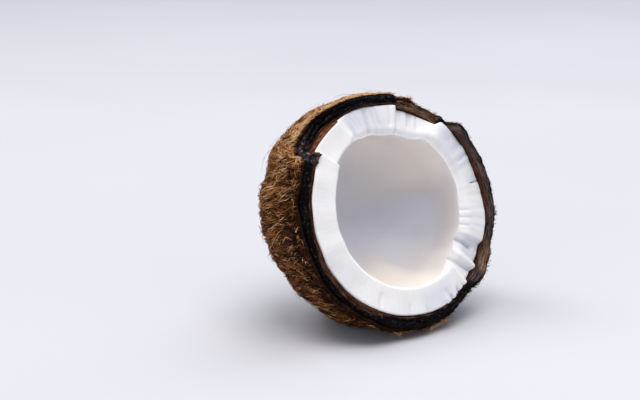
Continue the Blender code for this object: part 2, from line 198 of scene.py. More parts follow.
# Painted shade on the broken face, a grey: places as above, how much. Grooves and notches get painted
# shade too, a notch by its depth in metres.
GROOVE_PAINTED_SHADE = 0.30
NOTCH_PAINTED_SHADE = 240
FACE_PAINTED_SHADE_MOST = 0.85
FACE_PAINTED_SHADES = (
    (103, 114, 8, 2, 0.50),
    (88, 100, 8, 8, 0.30),
    (60, 76, 8, 8, 0.18),
    (48, 60, 6, 6, 0.10),
    (24, 47, 10, 6, 0.50),
    (2, 24, 8, 10, 0.22),
    (-22, -4, 10, 8, 0.22),
    (-38, -27, 5, 6, 0.55),
    (-90, -63, 10, 8, 0.46),
    (-108, -94, 10, 8, 0.12),
    (-156, -138, 8, 8, 0.14),
)

# Painted light and shade in the hollow, from 0 bluish shade to 1 cream light: what it is all over, and
# places with how much, how far down they reach and how softly they fall off. The walls are 6 long, from the
# rim to the pole.
FLESH_WALL_LENGTH = 6
HOLLOW_PAINTED_LIGHT_BASE = 0.19
HOLLOW_PAINTED_LIGHT = (
    (-150, -62, 30, 24, 0.78, 5.0, 3.0),
    (-80, -34, 16, 16, 0.42, 4.6, 4.6),
    (-60, 20, 30, 30, 0.36, 2.4, 2.4),
    (15, 150, 40, 40, 0.70, 6.8, 6.8),
)

# Rows of the flesh over which the hollow's colour starts at its rim, how many more in the softer part,
# and where that is
HOLLOW_START = 6
HOLLOW_START_MORE = 18
HOLLOW_START_SOFTER = (-46, 112, 24, 10)

# Fine shape of the shell's broken edge, and where it is rougher, being torn
EDGE_LAYERS = 0.00060
EDGE_CHIPS = 0.00048
EDGE_ROUND = 0.0005
EDGE_OUTER_WIDTH = 0.14
EDGE_INNER_WIDTH = 0.08
EDGE_TORN = ((44, 79, 3, 3, 1.2), (100, 150, 10, 3, 0.8), (136, 149, 5, 2, 1.6))

# The shell's looks: what each is all over, and places as above with how much more
SHELL_WALL_LENGTH = 16
SHELL_LOOKS = {
    "torn": (0.0, ((48, 79, 5, 2, 1.0),)),
    "flap": (0.0, ((-42, -25, 4, 3, 1.0),)),
    "worn": (0.0, ((-50, 42, 6, 6, 1.15),)),
    "layered": (0.04, ((-172, -118, 20, 16, 0.96), (149, 188, 3, 14, 0.3))),
    # Where the shell is crumbled: crumbs, with grey-blue painted highlights among them
    "crumbled_with_highlights": (0.0, ((134, 149, 8, 2, 1.0),)),
}

# The coat under its fibres: the height of its bundles and lumps, how much lower than the solid it lies,
# how much lower the fibres start, and how much lower both are on top towards the rim
COAT_TUFTS = 0.00040
COAT_LUMPS = 0.00030
COAT_SUNK = 0.0004
FIBRES_SUNK = 0.0002
TOP_SUNK = ((66, 134, 16, 24, 0.0006),)

# How pale the fibres are: in the middle, paler towards the top and darker below as painted light and shade,
# by patches, by tufts, paler on their crests and darker in the partings as painted light and shade, and by
# chance. Then places as above with how much, the share where it starts and how softly: painted light at the
# upper left and painted shade towards the rim at the left and bottom.
TONE_MIDDLE = 0.40
TONE_PAINTED_LIGHT_TOP = 0.12
TONE_PATCHES = 0.12
TONE_TUFT_LIGHT_AND_SHADE = 0.28
TONE_CHANCE = 0.20
TONE_PAINTED_LIGHT_AND_SHADE = (
    (80, 150, 24, 30, 0.28, 0.50, 0.40),
    (80, 132, 12, 12, 0.26, 0.84, 0.10),
    (150, -110, 10, 20, -0.17, 0.86, 0.08),
)
TONE_BEHIND_EDGE = ((146, -116, 16, 30, 0.13),)
FLATTENED = ((-100, 134, 24, 24, 0.8),)

# Fibres of the coat: how many, and for each the least and the most of its length, curl, half thickness
# and lift, in metres, or the curl as a share of the length where it goes with it. A turn is how far they
# stray from the way to the pole, in radians. A reach is the share of the way to the rim that they keep to,
# and points is how many there are along each. A tone is the middle and the spread of how pale they are.
FIBRE_SEED = 41
SNAG_SEED = 53
MAT_PIECES = 5
MAT_FIBRES = 5600
MAT_REACH = 0.985
MAT_TURN = 0.10
MAT_LENGTH = (0.0040, 0.0110)
MAT_CURL_SHARE = (0.01, 0.06)
MAT_LIFT = (0.0003, 0.0019)
MAT_RADIUS = (0.00008, 0.00016)
MAT_POINTS = 6
# How much darker the mat's fibres are than the top fibres over them: painted shade
MAT_PAINTED_SHADE = 0.14
TOP_FIBRES = 3800
TOP_REACH = 0.98
TOP_LENGTH = (0.0050, 0.0110)
TOP_CURL_SHARE = (0.02, 0.10)
TOP_LIFT = (0.0009, 0.0020)
TOP_RADIUS = (0.00011, 0.00020)
TOP_POINTS = 7
TOP_PALER = 0.12
TOP_CONTRAST = 1.15
COARSE_FIBRES = 130
COARSE_REACH = 0.93
COARSE_TURN = 0.25
COARSE_LENGTH = (0.008, 0.016)
COARSE_CURL_SHARE = (0.01, 0.07)
COARSE_LIFT = (0.0004, 0.0026)
COARSE_RADIUS = (0.00014, 0.00024)
COARSE_POINTS = 10
STRAY_FIBRES = 300
STRAY_REACH = 0.9
STRAY_TURN = 0.6
STRAY_LENGTH = (0.007, 0.015)
STRAY_CURL = (0.0005, 0.0022)
STRAY_LIFT = (0.0010, 0.0034)
STRAY_RADIUS = (0.00005, 0.00009)
STRAY_POINTS = 12
STRAY_TONE = (0.62, 0.14)
FRINGE_FIBRES = 1500
FRINGE_SHARE = (0.955, 1.0)
FRINGE_TURN = 0.45
FRINGE_LENGTH = (0.0025, 0.0075)
FRINGE_CURL = (0.0002, 0.001)
FRINGE_LIFT = (0.0002, 0.0012)
FRINGE_POINTS = 6
FRINGE_PALER = 0.12
SNAG_LENGTH = (0.0025, 0.0060)
SNAG_CURL = (0.0002, 0.0010)
SNAG_LIFT = (0.0010, 0.0028)
SNAG_RADIUS = (0.00010, 0.00020)
SNAG_POINTS = 7
SNAG_SPREAD = 0.006
SNAG_TONE = (0.82, 0.12)
FLOW_TURN = 0.24
WALK_LENGTH = 0.1018
NEAREST_AXIS = 0.006
BOX_MARGIN = 0.0012

# Small snagged bunches of fibre near the coat's edge: angle, share of the way from pole to rim, how many,
# spread in degrees, and how far they turn, in radians
SNAGS = (
    (-77, 0.992, 34, 1.6, 1.1),
    (-84, 0.996, 16, 1.2, 1.3),
    (-104, 0.998, 12, 0.8, 0.9),
    (149, 0.985, 26, 1.6, 0.5),
    (146, 0.995, 14, 1.0, 0.9),
    (66, 0.995, 14, 1.2, 0.8),
    (122, 0.92, 8, 8.0, 1.0),
    (140, 0.84, 8, 7.0, 1.0),
    (-176, 0.992, 5, 2.4, 0.3),
    (-163, 0.990, 3, 2.4, 0.4),
)

# Fineness of the pieces
COLUMNS = 540
COAT_RINGS = 12
COAT_RINGS_TO_RIM = 4

# The photograph's view: the camera's place round the rim's centre, and where that centre stands in the
# picture, from its middle, in pixels of a picture 640 wide and 400 high
VIEW_AZIMUTH = math.radians(-39)
VIEW_ELEVATION = math.radians(14)
VIEW_DISTANCE = 0.620
FOCAL_PIXELS = 1338.0
PICTURE_WIDTH = 640
RIM_CENTRE_RIGHT = 82.8
RIM_CENTRE_DOWN = 8.3
SENSOR_WIDTH = 36.0

# Studio: the floor's half width, the pale surroundings, and the lights, each with its azimuth and
# elevation, distance, size, power and colour
FLOOR_HALF = 6.0
SKY_COLOUR = (0.83, 0.86, 0.98, 1.0)
SKY_STRENGTH = 0.52
LIGHTS = (
    ("above", -10, 74, 3.0, 2.0, 62.0, (1.0, 0.96, 0.91)),
    ("behind", -140, 56, 3.0, 1.4, 32.0, (1.0, 0.96, 0.90)),
    ("right", 110, 58, 3.0, 2.0, 30.0, (0.96, 0.98, 1.0)),
    ("front", -64, 12, 3.0, 2.0, 12.0, (1.0, 0.93, 0.86)),
)


def smooth(value):
    """A soft step from 0 to 1: 3v squared less 2v cubed."""
    value = np.clip(value, 0.0, 1.0)
    return value * value * (3 - 2 * value)


def between(angle, first, last, soft_first, soft_last):
    """1 inside a range of angles in degrees, falling softly to 0 round each end."""
    half = (last - first) % 360 / 2
    off_middle = (angle - first - half + 180) % 360 - 180
    return smooth((half + off_middle) / soft_first + 0.5) * smooth((half - off_middle) / soft_last + 0.5)


def ripple(angle, waves):
    """The waves round the nut, added up at these angles: height times cos(count x angle + start)."""
    turn = np.radians(angle)
    return sum(height * np.cos(count * turn + start) for count, start, height in waves)


def break_depth(angle, across, breaks):
    """How much is broken away. across is 0 at the layer's inner edge and 1 at its outer edge."""
    return sum(
        (inner + (outer - inner) * across) * between(angle, *place) for *place, outer, inner in breaks
    )


def amount_at(angle, places):
    """The amounts of these places, such as how far outward or how much painted shade, added up at these
    angles.
    """
    return sum(amount * between(angle, *place) for *place, amount in places)


def shell_edge(angle, across):
    """How far the shell's broken edge stands above the rim plane."""
    return ripple(angle, SHELL_CHIPS) - break_depth(angle, across, SHELL_BREAKS)


def flesh_edge(angle, across):
    """Level of the flesh's broken face."""
    chips = ripple(angle, FLESH_CHIPS) * (FLESH_CHIPS_INSIDE + (1 - FLESH_CHIPS_INSIDE) * across)
    return chips - break_depth(angle, across, FLESH_BREAKS)


def taper(level):
    """Share of the widest radius that a wall has left: the root of 1 less (height over the widest
    level / RIM_TAPER_AXIS) squared."""
    return np.sqrt(1 - (np.maximum(level - WIDEST_LEVEL, 0.0) / RIM_TAPER_AXIS) ** 2)


def to_rim(angle, radius, level, edge, out, zone=WALL_ZONE):
    """Slides the upper wall along itself, so that it ends at edge, and moves it outward by out."""
    slid = level + edge * smooth(1 + level / RIM_ZONE)
    below_edge = slid - shell_edge(angle, 1.0)
    moved = radius * taper(slid) / taper(level) + out * smooth(1 + below_edge / zone)
    return np.where(slid < WIDEST_LEVEL, radius, moved), slid


def wall_profile(radius, depth, share):
    """Radius and level of one layer's surface, share of the way from pole to rim: a quarter ellipse up
    to the widest level, and a wall that leans in to the rim above it."""
    arc = share * (COAT_RINGS + COAT_RINGS_TO_RIM)
    turn = np.pi / 2 * np.minimum(arc / COAT_RINGS, 1.0)
    above = np.maximum(arc - COAT_RINGS, 0.0) / COAT_RINGS_TO_RIM
    level = WIDEST_LEVEL * (1 - above) - (depth + WIDEST_LEVEL) * np.cos(turn)
    return radius * np.sin(turn) * taper(level), level


def nut_points(angle, radius, level):
    """Points laid in place. Their radius gets the nut's three faint ridges and the side drawn in behind
    the rim, their pole leans off the axis, and the nut turns about X until its mouth looks forward and
    MOUTH_TILT upward."""
    turn = np.radians(angle)
    along = np.clip(-level / SHELL_DEPTH, 0.0, 1.0)
    ridge = SIDE_RIDGE * np.cos(3 * (turn - math.radians(SIDE_RIDGE_TURN)))
    swell = 1 + ridge * np.sin(np.pi * np.minimum(1.0, along + SIDE_RIDGE_AT_RIM))
    behind_rim = np.sin(np.pi / 2 * np.clip(-level / SIDE_REACH, 0.0, 1.0))
    swell = swell - behind_rim * amount_at(angle, SIDES_DRAWN_IN)
    x = radius * np.cos(turn) * swell
    y = radius * np.sin(turn) * swell + POLE_LEAN * along ** POLE_LEAN_POWER
    lean = math.pi / 2 - MOUTH_TILT
    forward = y * math.cos(lean) - level * math.sin(lean) + RIM_CENTRE_Y
    up = y * math.sin(lean) + level * math.cos(lean) + RIM_CENTRE_HEIGHT
    return np.stack(np.broadcast_arrays(x, forward, up), axis=-1)


def lattice_noise(points, seed):
    """Smooth noise from -1 to 1: fixed chance values on a unit lattice, blended between the corners of
    each cell with a soft step along each axis."""
    cell = np.floor(points).astype(np.int64)
    blend = smooth(points - cell)
    total = np.zeros(points.shape[:-1])
    for corner in np.ndindex(2, 2, 2):
        at = cell + corner
        mixed = (at[..., 0] * 374761393 + at[..., 1] * 668265263 + at[..., 2] * 974634777) + seed * 97531
        mixed = ((mixed ^ (mixed >> 13)) & 0xFFFFFFFF) * 1274126177 & 0xFFFFFFFF
        value = ((mixed ^ (mixed >> 16)) & 0xFFFF) / 32767.5 - 1
        total += value * np.prod(np.where(corner, blend, 1 - blend), axis=-1)
    return total


def round_noise(angle, across, count, rate, seed):
    """Noise over the nut with no seam: about count bumps a radian round it, rate of them along across."""
    turn = np.radians(angle)
    parts = np.broadcast_arrays(count * np.cos(turn), count * np.sin(turn), rate * across + seed)
    return lattice_noise(np.stack(parts, axis=-1), seed)


def coat_rise(angle, radius, level):
    """Height of the matted coat over its plain surface: waves round it that change along it, and the
    clump that it rests on."""
    turn = np.radians(angle)
    height = sum(
        size * np.cos(count * turn + start_round) * np.cos(along * level + start_along)
        for count, along, start_round, start_along, size in RELIEF_WAVES
    )
    height = np.maximum(height, -RELIEF_DEEPEST) * smooth(radius / RELIEF_POLE_FADE)
    off_bottom = np.radians((angle + 90 + 180) % 360 - 180)
    off_level = (level - REST_CLUMP_LEVEL) / REST_CLUMP_LENGTH
    clump = REST_CLUMP * np.exp(-((off_bottom / REST_CLUMP_WIDTH) ** 2) - off_level ** 2)
    return (height + clump) * smooth(-level / RELIEF_RIM_FADE)


def coat_edge(angle):
    """Level of the coat's ragged edge, a little behind the shell's edge."""
    back = COAT_SETBACK + amount_at(angle, COAT_FURTHER_BACK)
    return shell_edge(angle, 1.0) - back + ripple(angle, COAT_CHIPS)


def coat_points(angle, share, lift):
    """Points over the coat, share of the way from pole to rim, lift above its matted surface along the
    ellipse's way out. A share below 0 goes on over the pole. Nothing sinks below the floor."""
    angle = np.where(share < 0, angle + 180, angle)
    radius = SHELL_RADIUS + LAYER_GAP + COAT_THICKNESS
    depth = SHELL_DEPTH + LAYER_GAP + COAT_THICKNESS
    radius, level = wall_profile(radius, depth, np.abs(share))
    drop = np.minimum(0.0, level - WIDEST_LEVEL)
    length = np.hypot(radius, drop)
    rise = coat_rise(angle, radius, level) + lift
    radius, level = radius + rise * radius / length, level + rise * drop / length
    out = amount_at(angle, FLARES + PINCHES + COAT_THIN)
    radius, level = to_rim(angle, radius, level, coat_edge(angle), out)
    points = nut_points(angle, radius, level)
    points[..., 2] = np.maximum(points[..., 2], 0.0)
    return points


def mesh_of(name, vertices, quads, triangles):
    """A mesh from whole arrays of vertices, four-sided and three-sided faces."""
    mesh = bpy.data.meshes.new(name)
    corners = np.concatenate([quads.ravel(), triangles.ravel()]).astype(np.int32)
    sizes = np.concatenate([np.full(len(quads), 4), np.full(len(triangles), 3)])
    mesh.vertices.add(len(vertices))
    mesh.vertices.foreach_set("co", vertices.astype(np.float32).ravel())
    mesh.loops.add(len(corners))
    mesh.loops.foreach_set("vertex_index", corners)
    mesh.polygons.add(len(sizes))
    mesh.polygons.foreach_set("loop_start", (np.cumsum(sizes) - sizes).astype(np.int32))
    mesh.update(calc_edges=True)
    mesh.shade_smooth()
    return mesh


def give(mesh, name, values):
    """One number or one vector at each vertex, for the materials to read."""
    values = np.asarray(values, np.float32)
    kind, field = ("FLOAT_VECTOR", "vector") if values.ndim == 2 else ("FLOAT", "value")
    attribute = mesh.attributes.new(name, kind, "POINT")
    attribute.data.foreach_set(field, values.ravel())


def piece(mesh, material, stands_for=None):
    """A finished piece at the origin, riding on the nut."""
    mesh.materials.append(material)
    obj = bpy.data.objects.new(mesh.name, mesh)
    bpy.context.scene.collection.objects.link(obj)
    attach(obj, "root")
    if stands_for:
        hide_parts(stands_for)
    return obj


def cup_mesh(name, points, attributes):
    """A closed cup from a grid of points: columns go round the nut and rows go from the outer pole over
    the rim to the inner pole. The first and the last row are one vertex each."""
    rows, columns = points.shape[:2]

    def joined(grid):
        middle = grid[1:-1].reshape((rows - 2) * columns, -1)
        return np.concatenate([grid[0, :1].reshape(1, -1), middle, grid[-1, :1].reshape(1, -1)])

    index = np.arange((rows - 2) * columns).reshape(rows - 2, columns) + 1
    after = np.roll(index, -1, axis=1)
    quads = np.stack([index[:-1], after[:-1], after[1:], index[1:]], axis=-1).reshape(-1, 4)
    first = np.stack([np.zeros(columns, int), after[0], index[0]], axis=-1)
    last = np.stack([index[-1], after[-1], np.full(columns, (rows - 2) * columns + 1)], axis=-1)
    mesh = mesh_of(name, joined(points), quads, np.concatenate([first, last]))
    for key, grid in attributes.items():
        values = joined(np.broadcast_to(grid, points.shape[:2] + grid.shape[2:]).copy())
        give(mesh, key, values if grid.ndim == 3 else values[:, 0])
    return mesh


def where_on(angle, across):
    """The seamless place that the materials read: cos and sin of the angle, and a way across."""
    turn = np.radians(angle)
    return np.stack(np.broadcast_arrays(np.cos(turn), np.sin(turn), across), axis=-1)


def face_relief(angle, across):
    """Fine level of the flesh's broken face, and how much painted shade, a grey, it gets there. Grooves run
    across it, deeper at the top and at the right, and near the outer edge at the lower right. To them come
    low lumps, the notches, a slope outward at the right, and a rounding towards each edge that goes with
    distance squared. A notch falls off with the power 1.5 of the distance from its line. Grooves, notches
    and the shaded places get painted shade."""
    grooved = FACE_GROOVED + amount_at(angle, FACE_MORE_GROOVED)
    grooved = grooved + amount_at(angle, FACE_EDGE_GROOVED) * smooth((across - 0.6) / 0.3)
    grooves = round_noise(angle, across, 21, 1.3, 3) + 0.5 * round_noise(angle, across, 47, 1.6, 5)
    lumps = round_noise(angle, across, 7, 2.0, 8)
    level = FACE_GROOVES * grooved * grooves * (0.3 + 0.7 * across) + FACE_LUMPS * lumps
    # Painted shade: grey in the shaded places, the grooves and the notches
    painted_shade = amount_at(angle, FACE_PAINTED_SHADES) * smooth((across + 0.1) / 0.6)
    painted_shade = painted_shade + GROOVE_PAINTED_SHADE * grooved * np.maximum(-grooves, 0.0) * (0.3 + 0.7 * across)
    for at, drift, half_width, depth, start, end in FACE_NOTCHES:
        off = np.radians((angle - at - drift * across + 180) % 360 - 180)
        reach = smooth((across - start) / 0.2) * smooth((end - across) / 0.2)
        distance = off * (SHELL_RADIUS - FLESH_THICKNESS * (1.4 - across)) / half_width
        cut = depth * reach * np.exp(-np.abs(distance) ** 1.5)
        level, painted_shade = level - cut, painted_shade + NOTCH_PAINTED_SHADE * np.maximum(cut, 0)
    rounder = amount_at(angle, FACE_ROUNDER)
    inner = smooth(1 - across / (FACE_INNER_WIDTH + FACE_ROUNDER_WIDTH * rounder))
    outer = smooth(1 - (1 - across) / FACE_OUTER_WIDTH)
    level = level - across * amount_at(angle, FACE_SLOPES)
    inner_round = FACE_INNER_ROUND * (1 + FACE_ROUNDER_HEIGHT * rounder)
    outer_round = FACE_OUTER_ROUND * (1 - amount_at(angle, FACE_SHARPER))
    level = level - inner_round * inner ** 2 - outer_round * outer ** 2
    return level, np.clip(painted_shade, 0.0, FACE_PAINTED_SHADE_MOST)


def hollow_painted_light(angle, along):
    """Painted light and shade in the hollow, from 0 bluish shade to 1 cream light: most light at the bottom
    and the top, falling off towards the pole. The places are joined by the fourth root of the sum of their
    fourth powers. along is 0 at the hollow's rim and falls towards its pole."""
    powers = sum(
        (amount * between(angle, *place) * smooth((along + reach) / soft)) ** 4
        for *place, amount, reach, soft in HOLLOW_PAINTED_LIGHT
    )
    return HOLLOW_PAINTED_LIGHT_BASE + powers ** 0.25


def make_flesh(material):
    """White flesh: its outer side, the broken face and the hollow, as one closed cup. The outer side and
    the hollow are layer profiles, the face goes straight across between them, and all of them slide to
    the face's level, which is flesh_edge plus face_relief. Rows stand closer towards the face."""
    outer_radius = SHELL_RADIUS - SHELL_THICKNESS - LAYER_GAP
    outer_depth = SHELL_DEPTH - SHELL_THICKNESS - LAYER_GAP
    inner_radius, inner_depth = outer_radius - FLESH_THICKNESS, outer_depth - FLESH_THICKNESS_AT_POLE
    outer_share = np.concatenate([np.linspace(0, 0.78, 10), np.linspace(0.80, 1.0, 26)])
    face_across = np.linspace(1, 0, 58)[1:-1]
    inner_share = np.concatenate([np.linspace(1.0, 0.93, 16), np.linspace(0.92, 0, 58)])
    outer = wall_profile(outer_radius, outer_depth, outer_share)
    inner = wall_profile(inner_radius, inner_depth, inner_share)
    face = inner[0][0] + (outer[0][-1] - inner[0][0]) * face_across, np.zeros(len(face_across))
    radius = np.concatenate([outer[0], face[0], inner[0]])[:, None]
    level = np.concatenate([outer[1], face[1], inner[1]])[:, None]
    across = np.concatenate([np.ones(len(outer_share)), face_across, np.zeros(len(inner_share))])[:, None]
    angle = np.arange(COLUMNS)[None] * 360.0 / COLUMNS
    relief, painted_shade = face_relief(angle, across)
    edge = flesh_edge(angle, across) + relief
    pinch, pull = FLESH_PINCH * amount_at(angle, PINCHES), amount_at(angle, HOLLOW_PULLS)
    out = pinch * across + pull * (1 - across)
    radius, level = to_rim(angle, radius, level, edge, out, np.where(across > 0.5, WALL_ZONE, HOLLOW_ZONE))
    row = np.arange(len(across))[:, None]
    skin = (row < len(outer_share) - 1) * 1.0
    softer = between(angle, *HOLLOW_START_SOFTER)
    off_face = row - len(outer_share) - len(face_across) + 2
    hollow = smooth((off_face + HOLLOW_START * softer) / (HOLLOW_START + HOLLOW_START_MORE * softer))
    outside, inside = 1 + (1 - outer_share) * FLESH_WALL_LENGTH, (inner_share - 1) * FLESH_WALL_LENGTH
    along = np.concatenate([outside, face_across, inside])[:, None]
    attributes = {
        "place": where_on(angle, along),
        "skin": skin,
        "hollow": hollow,
        # The next two are painted light and shade in the hollow, and painted shade on the broken face
        "painted_light": hollow_painted_light(angle, along),
        "painted_shade": painted_shade,
    }
    mesh = cup_mesh("flesh_cup", nut_points(angle, radius, level), attributes)
    return piece(mesh, material, "white_flesh")


def edge_relief(angle, across):
    """Fine level of the shell's broken edge: long layers that run round it and chips, both of them deeper
    where a piece was torn off, and rounded corners."""
    torn = 1 + amount_at(angle, EDGE_TORN)
    layers = round_noise(angle, across, 6, 5.0, 12) + 0.6 * round_noise(angle, across, 11, 9.0, 14)
    chips = round_noise(angle, across, 34, 2.2, 17) + 0.5 * round_noise(angle, across, 80, 4.0, 19)
    corner = smooth(1 - (1 - across) / EDGE_OUTER_WIDTH) + smooth(1 - across / EDGE_INNER_WIDTH)
    return torn * (EDGE_LAYERS * layers + EDGE_CHIPS * chips) - EDGE_ROUND * corner


def make_shell(material):
    """Hard shell: outer wall, broken edge and inner wall as one closed cup, slid to the edge's level,
    which is shell_edge plus edge_relief. Rows stand closer towards the edge."""
    inner_radius, inner_depth = SHELL_RADIUS - SHELL_THICKNESS, SHELL_DEPTH - SHELL_THICKNESS
    outer_share = np.concatenate([np.linspace(0, 0.72, 14), np.linspace(0.74, 1.0, 30)])
    edge_across = np.linspace(1, 0, 34)[1:-1]
    inner_share = np.concatenate([np.linspace(1.0, 0.80, 14), np.linspace(0.78, 0, 12)])
    outer = wall_profile(SHELL_RADIUS, SHELL_DEPTH, outer_share)
    inner = wall_profile(inner_radius, inner_depth, inner_share)
    edge_radius = inner[0][0] + (outer[0][-1] - inner[0][0]) * edge_across
    radius = np.concatenate([outer[0], edge_radius, inner[0]])[:, None]
    level = np.concatenate([outer[1], np.zeros(len(edge_across)), inner[1]])[:, None]
    across = np.concatenate([np.ones(len(outer_share)), edge_across, np.zeros(len(inner_share))])[:, None]
    angle = np.arange(COLUMNS)[None] * 360.0 / COLUMNS
    edge = shell_edge(angle, across) + edge_relief(angle, across)
    flare = amount_at(angle, FLARES) * (FLARE_INSIDE + (1 - FLARE_INSIDE) * across)
    radius, level = to_rim(angle, radius, level, edge, flare + amount_at(angle, PINCHES))
    outside, inside = 1 + (1 - outer_share) * SHELL_WALL_LENGTH, (inner_share - 1) * SHELL_WALL_LENGTH
    along = np.concatenate([outside, edge_across, inside])[:, None]
    attributes = {"place": where_on(angle, along)}
    for look, (everywhere, places) in SHELL_LOOKS.items():
        attributes[look] = np.broadcast_to(everywhere + amount_at(angle, places), level.shape)
    attributes["across"] = np.broadcast_to(across, level.shape)
    mesh = cup_mesh("shell_cup", nut_points(angle, radius, level), attributes)
    return piece(mesh, material, "hard_shell")


def sunk_on_top(angle, share):
    """How much lower the coat and its fibres lie on top of the nut, from halfway to the rim on."""
    return amount_at(angle, TOP_SUNK) * smooth((share - 0.5) / 0.25)


def make_coat(material):
    """The matted coat under the loose fibres: an outer wall with bundles of fibre along it, its ragged
    edge, and the inner wall against the shell, as one closed cup that is flat where the nut rests."""
    angle = np.arange(COLUMNS)[None] * 360.0 / COLUMNS
    share = np.linspace(0, 1, 118)[:, None]
    lumps = round_noise(angle, share, 8, 7, 25)
    raised = (COAT_TUFTS * tufts(angle, share) + COAT_LUMPS * lumps) * smooth(share / 0.25)
    outside = coat_points(angle, share, raised - (COAT_SUNK + sunk_on_top(angle, share)))
    inner_radius, inner_depth = SHELL_RADIUS + LAYER_GAP, SHELL_DEPTH + LAYER_GAP
    inner_share = np.linspace(1, 0, 18)[:, None]
    radius, level = wall_profile(inner_radius, inner_depth, inner_share)
    radius, level = to_rim(angle, radius, level, coat_edge(angle), amount_at(angle, FLARES + PINCHES))
    inside = nut_points(angle, radius, level)
    points = np.concatenate([outside, inside])
    along = np.concatenate([share, 2 - inner_share])
    mesh = cup_mesh("husk_coat", points, {"place": where_on(angle, along)})
    return piece(mesh, material, "husk_fibre")


def spread_over_coat(draw, count):
    """Chance places spread evenly over the coat's area: (angle in degrees, share from pole to rim)."""
    share = np.linspace(0, 1, 400)
    radius, _ = wall_profile(SHELL_RADIUS, SHELL_DEPTH, share)
    reached = np.cumsum(radius) / np.sum(radius)
    return draw.uniform(0, 360, count), np.interp(draw.uniform(0, 1, count), reached, share)


def fibre_mesh(name, points, radius, tone):
    """Thin three-sided fibres carried along paths. A ring of three corners stands square to the path at
    each of its points, and the radius falls to a fifth at the tip. Both ends are closed."""
    count, steps = points.shape[:2]
    along = np.gradient(points, axis=1)
    along /= np.linalg.norm(along, axis=-1, keepdims=True) + 1e-12
    side = np.cross(along, np.array([0.31, 0.22, 0.92]))
    side /= np.linalg.norm(side, axis=-1, keepdims=True) + 1e-12
    other = np.cross(along, side)
    size = radius[:, None] * (1 - 0.8 * np.linspace(0, 1, steps) ** 2)[None]
    turns = np.radians([0, 120, 240])
    ring = side[:, :, None] * np.cos(turns)[:, None] + other[:, :, None] * np.sin(turns)[:, None]
    corners = points[:, :, None] + ring * size[:, :, None, None]
    corners = np.clip(corners, np.array(cad_low) - BOX_MARGIN, np.array(cad_high) + BOX_MARGIN)
    corners[..., 2] = np.maximum(corners[..., 2], 0.0)
    index = np.arange(count * steps * 3).reshape(count, steps, 3)
    after = np.roll(index, -1, axis=2)
    quads = np.stack([index[:, :-1], after[:, :-1], after[:, 1:], index[:, 1:]], axis=-1).reshape(-1, 4)
    ends = np.concatenate([index[:, 0, ::-1], index[:, -1]])
    mesh = mesh_of(name, corners.reshape(-1, 3), quads, ends)
    give(mesh, "tone", np.repeat(tone, steps * 3))
    give(mesh, "along", np.tile(np.repeat(np.linspace(0, 1, steps), 3), count))
    return mesh


def fibre_paths(draw, angle, share, heading, length, curl, lift, steps):
    """Paths of fibres over the coat. Each walks its length along its heading and swings aside by curl
    times a sine of its way. Its height is its lift times a quarter, a half wave along it, and a free end
    that rises or dips with a power of the way."""
    way = np.linspace(0, 1, steps)[None]
    radius, _ = wall_profile(SHELL_RADIUS, SHELL_DEPTH, share)
    radius = np.maximum(radius, NEAREST_AXIS)[:, None]
    count = len(angle)
    waves = draw.uniform(0.5, 1.35, count)[:, None] * 2 * np.pi
    start = draw.uniform(0, 2 * np.pi, count)[:, None]
    forward = length[:, None] * (way - 0.5)
    aside = curl[:, None] * (np.sin(waves * way + start) - np.sin(start))
    cosine, sine = np.cos(heading)[:, None], np.sin(heading)[:, None]
    walked = share[:, None] + (forward * cosine - aside * sine) / WALK_LENGTH
    turned = angle[:, None] + np.degrees((forward * sine + aside * cosine) / radius)
    hump = draw.uniform(-0.4, 1.0, count)[:, None] * np.sin(np.pi * way)
    free_end = way ** draw.uniform(0.7, 3.0, count)[:, None]
    tip = draw.uniform(-0.2, 1.0, count)[:, None]
    sunk = FIBRES_SUNK + sunk_on_top(angle, share)
    height = lift[:, None] * (0.25 + 0.6 * np.abs(hump) + tip * free_end) - sunk[:, None]
    return coat_points(turned, walked, height)


def tufts(angle, share):
    """Where the coat is bunched up, above 0, or parted, below: long narrow noise from pole to rim, bent
    aside by broad noise."""
    angle = angle + 1.6 * round_noise(angle, share, 6, 9, 34)
    return 0.4 * round_noise(angle, share, 24, 6, 35) + 0.8 * round_noise(angle, share, 66, 11, 37)


def flow(angle, share):
    """How far the fibres turn as a lock from the way to the pole: broad noise and finer noise."""
    turned = round_noise(angle, share, 9, 9, 45) + 0.4 * round_noise(angle, share, 24, 22, 47)
    return FLOW_TURN * turned


def lying(angle, share):
    """How far fibres may lift, 1 at most: towards the rim they lie flat, from the upper left round the
    right side to the bottom."""
    return 1 - amount_at(angle, FLATTENED) * smooth((share - 0.52) / 0.25)


def fibre_tone(draw, angle, share):
    """How pale each fibre is, from 0 dark to 1 straw: painted light on the top and painted shade below,
    broad patches, painted light and shade by the tufts, places that are paler or darker towards the rim as
    painted light and shade, a paler belt that ends before the rim at the left, and chance."""
    patches = 0.6 * round_noise(angle, share, 4, 5, 31) + 0.4 * round_noise(angle, share, 11, 12, 33)
    pale = TONE_MIDDLE + TONE_PAINTED_LIGHT_TOP * np.sin(np.radians(angle)) + TONE_PATCHES * patches
    pale = pale + TONE_TUFT_LIGHT_AND_SHADE * tufts(angle, share)
    for *place, amount, start, soft in TONE_PAINTED_LIGHT_AND_SHADE:
        pale = pale + amount * between(angle, *place) * smooth((share - start) / soft)
    belt = smooth((share - 0.45) / 0.2) * (1 - smooth((share - 0.86) / 0.08))
    pale = pale + amount_at(angle, TONE_BEHIND_EDGE) * belt
    return np.clip(pale + draw.normal(0, TONE_CHANCE, len(angle)), 0, 1)


def both_ways(draw, heading):
    """The same headings, with half of the fibres, by chance, pointing the other way."""
    return heading + np.pi * draw.integers(0, 2, len(heading))


